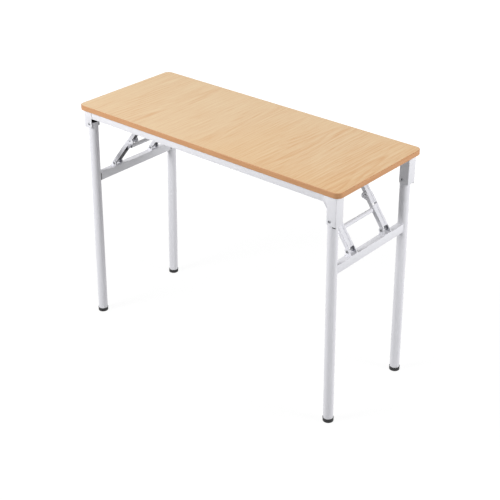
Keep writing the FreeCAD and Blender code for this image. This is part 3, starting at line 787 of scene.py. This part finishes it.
class DESK_OT_screws(bpy.types.Operator):
    """Turn pan head screws with a cross recess for the rails"""

    bl_idname = "desk.screws"
    bl_label = "Screws"

    def execute(self, context):
        sizes = context.scene.desk_sizes
        node = "top_screws"
        source = merged(node)
        shape = bmesh.new()
        for island, low, high in islands(source):
            self.turn_one(shape, low, high, sizes)
        source.free()
        finish_shape(f"{node}_recessed", shape, nodes[node]["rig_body"], SLOTS[node], (node,))
        return {"FINISHED"}

    def turn_one(self, shape, low, high, sizes):
        """Spin a screw's outline and sink a cross in its head."""
        radius = (high.x - low.x) / 2
        foot = Vector(((low.x + high.x) / 2, (low.y + high.y) / 2, low.z))
        tall = high.z - low.z
        head = sizes.screw_head
        outline = [(sizes.screw_flat, 0)]
        outline += [(radius * across, head * up) for across, up in SCREW_CROWN]
        outline += [(sizes.screw_shank, head), (sizes.screw_shank, tall - sizes.screw_shank), (0, tall)]
        spin_outline(shape, outline, foot, Vector((0, 0, 1)))
        rim = [edge for edge in shape.edges if edge.is_boundary]
        end = bmesh.ops.holes_fill(shape, edges=rim, sides=0)["faces"][0]
        bmesh.ops.inset_region(shape, faces=[end], thickness=sizes.screw_flat - sizes.recess_reach,
                               use_even_offset=True)
        for vert in end.verts:
            spoke = vert.co - foot
            side = min(abs(spoke.x), abs(spoke.y)) / spoke.length
            if side * sizes.recess_reach > sizes.recess_arm:
                vert.co = foot + spoke.normalized() * (sizes.recess_arm / side)
        floor = bmesh.ops.extrude_discrete_faces(shape, faces=[end])["faces"][0]
        for vert in floor.verts:
            vert.co = foot + (vert.co - foot) * RECESS_TAPER + Vector((0, 0, sizes.recess_depth))


# A leg's black plug, painted shade for the dark open end of the tube: shares of the leg's radius and of
# the plug's rise over the leg's end.
SHADE_DOME = ((0, 1), (0.6, 0.85), (0.86, 0.4), (0.93, 0), (0, -0.1))
# How far, in sheet roundings, the crossbar plug reaches into the crossbar; the plug is painted shade.
GAP_SHADE_SKINS = 3
WASHER_LIP = 0.25


class DESK_OT_shade_pieces(bpy.types.Operator):
    """Set dark pieces that paint shade: plugs in legs and crossbars, liners and washers in links, and
    buffers in brackets
    """

    bl_idname = "desk.plugs"
    bl_label = "Painted shade pieces"

    def execute(self, context):
        sizes = context.scene.desk_sizes
        for end in ENDS:
            pivot = Vector(joints[f"{end}_leg_fold"]["pos_m"])
            foot = Vector(joints[f"{end}_lower_link_swing"]["pos_m"])
            head = Vector(joints[f"{end}_upper_link_swing"]["pos_m"])
            for side in SIDES:
                lower = f"{side}_{end}_lower_link"
                upper = f"{side}_{end}_upper_link"
                self.shade_leg_end(f"{side}_{end}_leg", pivot, end_turn(end), sizes)
                self.shade_bar_gap(end, side, sizes)
                self.shade_link_channel(lower, end, foot, sizes.channel_shade_width, sizes.channel_shade_stop, sizes)
                self.shade_link_channel(upper, end, head, sizes.head_channel_shade_width, sizes.head_channel_shade_stop, sizes)
                self.add_shade_washers(lower, foot, sizes)
        for side in SIDES:
            self.add_buffer(f"{side}_right_leg_bracket", side, sizes)
        return {"FINISHED"}

    def shade_leg_end(self, node, pivot, turn, sizes):
        """A low black domed plug in the top of a leg tube, painted shade for the dark inside of the tube's
        open end.
        """
        place, radius = leg_tube(node)
        outline = [(radius * across, sizes.leg_crown + sizes.shade_dome_rise * up) for across, up in SHADE_DOME]
        shape = bmesh.new()
        spin_outline(shape, outline, Vector((pivot.x, place, pivot.z)), turn.to_3x3() @ Vector((0, 0, 1)))
        # Black as painted shade of the tube's open end.
        finish_shape(f"{node}_plug", shape, nodes[node]["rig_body"], "foot_plastic")

    def shade_bar_gap(self, end, side, sizes):
        """The rim of a black plug in a crossbar end, beside the leg on the inner side: painted shade for
        the dark gap where the crossbar's end meets the leg.
        """
        low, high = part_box(f"{end}_leg_crossbar")
        middle = (low + high) / 2
        middle.y, radius = leg_tube(f"{side}_{end}_leg")
        face = sizes.bar_width / 2 * INWARD[end]
        near = FACING[side] * math.sqrt(radius ** 2 - face ** 2)
        far = near + FACING[side] * sizes.gap_shade_width
        rise = sizes.bar_height / 2 - sizes.tube_edge
        skin = math.copysign(sizes.sheet_edge, face)
        corners = [(face - skin * GAP_SHADE_SKINS, near, -rise), (face + skin, far, rise)]
        low, high = [Vector(map(pick, zip(*corners))) for pick in (min, max)]
        shape = block(low, high, sizes.sheet_edge / 2)
        shape.transform(Matrix.Translation(middle) @ end_turn(end))
        # Black as painted shade of the gap by the leg.
        finish_shape(f"{side}_{end}_crossbar_gap_shade", shape, f"{end}_leg_frame", "foot_plastic")

    def shade_link_channel(self, node, end, pivot, width, stop, sizes):
        """A black strip along the inside of a link's web, from its outer pivot towards the knee: painted
        shade for the dark inside of the link's channel.
        """
        low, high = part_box(node)
        pins_low, pins_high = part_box(f"{end}_knee_rivets")
        knee = (pins_low + pins_high) / 2
        run = Vector((knee.x - pivot.x, 0, knee.z - pivot.z))
        up = run.normalized()
        out = Vector((-up.z, 0, up.x))
        out *= math.copysign(1, out.z)
        across = Vector((0, 1, 0))
        middle = Vector((pivot.x, (low.y + high.y) / 2, pivot.z))
        shape = block(Vector((sizes.channel_shade_start, -width / 2, sizes.channel_shade_level - sizes.channel_shade_depth)),
                      Vector((run.length - stop, width / 2, sizes.channel_shade_level)), sizes.sheet_edge)
        shape.transform(Matrix.Translation(middle) @ Matrix((up, across, out)).transposed().to_4x4())
        # Black as painted shade inside the channel.
        finish_shape(f"{node}_channel_shade", shape, nodes[node]["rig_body"], "foot_plastic")

    def add_shade_washers(self, node, foot, sizes):
        """Dark steel washers on the pin, against the inside of a lower link's foot: their dark colour is
        painted shade for the shadowed inside of the foot.
        """
        low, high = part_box(node)
        middle = Vector((foot.x, (low.y + high.y) / 2, foot.z))
        outer = sizes.washer_spread
        inner = outer - sizes.washer_wall
        lip = sizes.washer_wall * WASHER_LIP
        bore = sizes.pin_radius + lip / 2
        outline = [(bore, outer), (sizes.washer_radius, outer), (sizes.washer_radius, inner + lip),
                   (sizes.washer_radius - lip, inner), (bore, inner), (bore, outer)]
        shape = bmesh.new()
        for facing in FACING.values():
            spin_outline(shape, outline, middle, Vector((0, facing, 0)))
        # Dark as painted shade inside the foot.
        finish_shape(f"{node}_shade_washers", shape, nodes[node]["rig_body"], "fastener_steel",
                     finish=FOOT_SHADE_FINISH)

    def add_buffer(self, node, side, sizes):
        """A black buffer in the outer corner of a right bracket, which shows a little below it: painted
        shadow for the dark wedge the bracket casts on the leg.
        """
        low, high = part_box(node)
        far = high.x - sizes.sheet_wall
        near = low.y + sizes.sheet_wall
        if side == "rear":
            near = high.y - sizes.sheet_wall - sizes.corner_shade_wall
        shape = block(Vector((far - sizes.corner_shade_width, near, low.z - sizes.corner_shade_drop)),
                      Vector((far, near + sizes.corner_shade_wall, low.z + sizes.corner_shade_rise)), sizes.sheet_edge)
        # Black as painted shadow under the bracket.
        finish_shape(f"{node}_buffer", shape, nodes[node]["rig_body"], "foot_plastic")


class DESK_OT_foot_rims(bpy.types.Operator):
    """Lay a rolled rim round the mouth of each foot cap"""

    bl_idname = "desk.foot_rims"
    bl_label = "Foot rims"

    def execute(self, context):
        for end in ENDS:
            for side in SIDES:
                self.lay_rim(f"{side}_{end}_foot", end_turn(end), context.scene.desk_sizes)
        return {"FINISHED"}

    def lay_rim(self, node, turn, sizes):
        """A ring round the top edge of a foot, square to its leg."""
        low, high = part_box(node)
        middle = (low + high) / 2
        radius = (high.y - low.y) / 2 - sizes.rim_radius / 2
        rise = (high.z - low.z) / 2 - sizes.rim_radius
        angles = [FULL_TURN * step / ROUND_STEPS for step in range(ROUND_STEPS)]
        spots = [turn @ Vector((math.cos(angle) * radius, math.sin(angle) * radius, rise)) + middle
                 for angle in angles]
        lay_bead(f"{node}_rim", spots, nodes[node]["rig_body"], "foot_plastic", sizes.rim_radius, 1, True)


# How thin a weld is between its ripples, and how many points each ripple has.
RIPPLE_WAIST = 0.8
RIPPLE_POINTS = 2


class DESK_OT_welds(bpy.types.Operator):
    """Lay weld beads where the tubes of the frame meet"""

    bl_idname = "desk.welds"
    bl_label = "Welds"

    def execute(self, context):
        for end in ENDS:
            self.weld_crossbar(end, context.scene.desk_sizes)
            self.weld_cross_tube(end, context.scene.desk_sizes)
        return {"FINISHED"}

    def weld_crossbar(self, end, sizes):
        """A bead round each end of a crossbar on the leg, open on the inner side."""
        low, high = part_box(f"{end}_leg_crossbar")
        turn = end_turn(end)
        for side, facing in FACING.items():
            middle = (low + high) / 2
            middle.y, radius = leg_tube(f"{side}_{end}_leg")
            reach = math.asin(sizes.bar_width / 2 / radius)
            points = []
            for level in (1, -1):
                for step in range(WELD_STEPS + 1):
                    angle = level * INWARD[end] * reach * (1 - 2 * step / WELD_STEPS)
                    points.append((math.sin(angle) * radius, facing * math.cos(angle) * radius,
                                   level * sizes.bar_height / 2))
            spots = [turn @ Vector(point) + middle for point in points]
            self.weld(f"{side}_{end}_crossbar_weld", spots, f"{end}_leg_frame", sizes, False)

    def weld_cross_tube(self, end, sizes):
        """A bead round each end of a cross tube, where it meets the rail."""
        low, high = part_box(f"{end}_cross_tube")
        top = high.z - sizes.bead_radius
        for side, level in zip(SIDES, (low.y, high.y)):
            spots = [Vector((low.x, level, low.z)), Vector((high.x, level, low.z)),
                     Vector((high.x, level, top)), Vector((low.x, level, top))]
            self.weld(f"{side}_{end}_tube_weld", spots, "desk", sizes, True)

    def weld(self, name, corners, body, sizes, closed):
        """A rippled bead along a line of corners."""
        spots = []
        nexts = corners[1:] + corners[:1] if closed else corners[1:]
        for first, last in zip(corners, nexts):
            count = max(1, round((last - first).length / sizes.ripple_pitch * RIPPLE_POINTS))
            spots += [first.lerp(last, step / count) for step in range(count)]
        lay_bead(name, spots, body, "frame_paint", sizes.bead_radius, RIPPLE_WAIST, closed)


WHITE = (1, 1, 1)
CAMERA_PLACE = (2.01293, -2.33876, 2.00997)
CAMERA_AIM = (-0.56815, 0.66951, -0.47849)
CAMERA_SENSOR = 36

# Each lamp: its name, place, width, power and whether it shows as a highlight.
LAMPS = (
    ("front", (-1.35, -2.85, 2.25), 1.5, 100, True),
    ("side", (3.0, 0.95, 2.3), 1.5, 48, False),
    ("low", (3.35, 0.9, 0.9), 1.5, 28, False),
    ("back", (-1.1, 1.0, 3.2), 2.0, 16, True),
)
LAMP_TARGET = (0, 0, 0.45)

# The floor's white: its strength, and its share from near the desk to far from it.
FLOOR_GLOW = 1.16
FLOOR_NEAR = 0.7
FLOOR_FAR = 1.8
FLOOR_NEAR_SHARE = 0.8
FLOOR_FAR_SHARE = 1.0

# The surround's level as light on the desk, and where it is seen.
WORLD_LIGHT = 0.32
WORLD_SEEN = 1.0


class DESK_OT_stage(bpy.types.Operator):
    """Set the floor, the light and the camera"""

    bl_idname = "desk.stage"
    bl_label = "Studio"

    def execute(self, context):
        scene = context.scene
        scene.view_settings.view_transform = "Standard"
        self.make_camera(scene)
        self.make_floor(scene)
        self.make_world(scene)
        for lamp in LAMPS:
            self.make_lamp(scene, *lamp)
        return {"FINISHED"}

    def make_camera(self, scene):
        """A camera that sees the desk from the front, right and above."""
        camera = bpy.data.cameras.new("studio_camera")
        camera.lens = scene.desk_sizes.camera_lens
        camera.sensor_width = CAMERA_SENSOR
        scene.camera = self.hang(scene, "studio_camera", camera, CAMERA_PLACE, Vector(CAMERA_AIM))

    def make_floor(self, scene):
        """A wide floor that looks white to the camera and keeps a soft shadow."""
        shape = bmesh.new()
        bmesh.ops.create_grid(shape, x_segments=1, y_segments=1, size=scene.desk_sizes.floor_reach)
        mesh = mesh_of("studio_floor", shape)
        floor = bpy.data.objects.new("studio_floor", mesh)
        scene.collection.objects.link(floor)
        look = Finish(bpy.data.materials.new("studio_floor"))
        seen = look.node("LightPath", output="Is Camera Ray")
        shiny = seen.other("Is Glossy Ray")
        clear = seen.other("Is Transmission Ray")
        seen = seen.calc("MAXIMUM", shiny).calc("MAXIMUM", clear)
        matt = look.node("BsdfDiffuse", None, {"Color": scene.desk_colours.floor})
        white = look.node("Emission", None, {"Color": WHITE, "Strength": FLOOR_GLOW})
        away = look.node("VectorMath", {"operation": "LENGTH"}, {0: look.place()}, "Value")
        far = look.node("MapRange", {"interpolation_type": "SMOOTHSTEP"},
                        {"Value": away, "From Min": FLOOR_NEAR, "From Max": FLOOR_FAR,
                         "To Min": FLOOR_NEAR_SHARE, "To Max": FLOOR_FAR_SHARE})
        both = look.node("MixShader", None, {0: seen * far, 1: matt, 2: white})
        look.node("OutputMaterial", None, {"Surface": both})
        mesh.materials.append(look.holder)

    def make_world(self, scene):
        """An even pale surround, white where it is seen directly."""
        look = Finish(bpy.data.worlds.new("studio_world"))
        seen = look.node("LightPath", output="Is Camera Ray")
        seen = seen.calc("MAXIMUM", seen.other("Is Glossy Ray"))
        level = look.node("MapRange", None, {"Value": seen, "To Min": WORLD_LIGHT, "To Max": WORLD_SEEN})
        glow = look.node("Background", None, {"Color": WHITE, "Strength": level})
        look.node("OutputWorld", None, {"Surface": glow})
        scene.world = look.holder

    def make_lamp(self, scene, name, place, width, power, highlight):
        """A large soft lamp that looks at the desk, with or without a highlight on glossy surfaces."""
        light = bpy.data.lights.new(f"studio_{name}", "AREA")
        light.shape = "DISK"
        light.size = width
        light.energy = power
        aim = Vector(LAMP_TARGET) - Vector(place)
        lamp = self.hang(scene, f"studio_{name}", light, place, aim)
        lamp.visible_glossy = highlight

    def hang(self, scene, name, thing, place, aim):
        """Put a camera or a lamp in its place and turn it along its aim."""
        holder = bpy.data.objects.new(name, thing)
        scene.collection.objects.link(holder)
        holder.location = place
        holder.rotation_euler = aim.to_track_quat("-Z", "Y").to_euler()
        return holder


class DESK_PT_panel(bpy.types.Panel):
    """The desk's steps"""

    bl_idname = "DESK_PT_panel"
    bl_label = "Folding desk"
    bl_space_type = "VIEW_3D"
    bl_region_type = "UI"
    bl_category = "Desk"

    def draw(self, context):
        for step in STEPS:
            self.layout.operator(step.bl_idname)


STEPS = (DESK_OT_finishes, DESK_OT_rim, DESK_OT_tubes, DESK_OT_sheets, DESK_OT_rivets, DESK_OT_screws,
         DESK_OT_shade_pieces, DESK_OT_foot_rims, DESK_OT_welds, DESK_OT_stage)
CLASSES = (DeskColours, DeskSizes, *STEPS, DESK_PT_panel)


def register():
    """Make the classes and the settings known."""
    for item in CLASSES:
        bpy.utils.register_class(item)
    bpy.types.Scene.desk_colours = PointerProperty(type=DeskColours)
    bpy.types.Scene.desk_sizes = PointerProperty(type=DeskSizes)


def unregister():
    """Take the classes and the settings away."""
    del bpy.types.Scene.desk_sizes
    del bpy.types.Scene.desk_colours
    for item in reversed(CLASSES):
        bpy.utils.unregister_class(item)


def main():
    """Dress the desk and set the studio."""
    register()
    bpy.ops.desk.finishes()
    bpy.ops.desk.rim()
    bpy.ops.desk.tubes()
    bpy.ops.desk.sheets()
    bpy.ops.desk.rivets()
    bpy.ops.desk.screws()
    bpy.ops.desk.plugs()
    bpy.ops.desk.foot_rims()
    bpy.ops.desk.welds()
    bpy.ops.desk.stage()


if __name__ == "__main__":
    main()
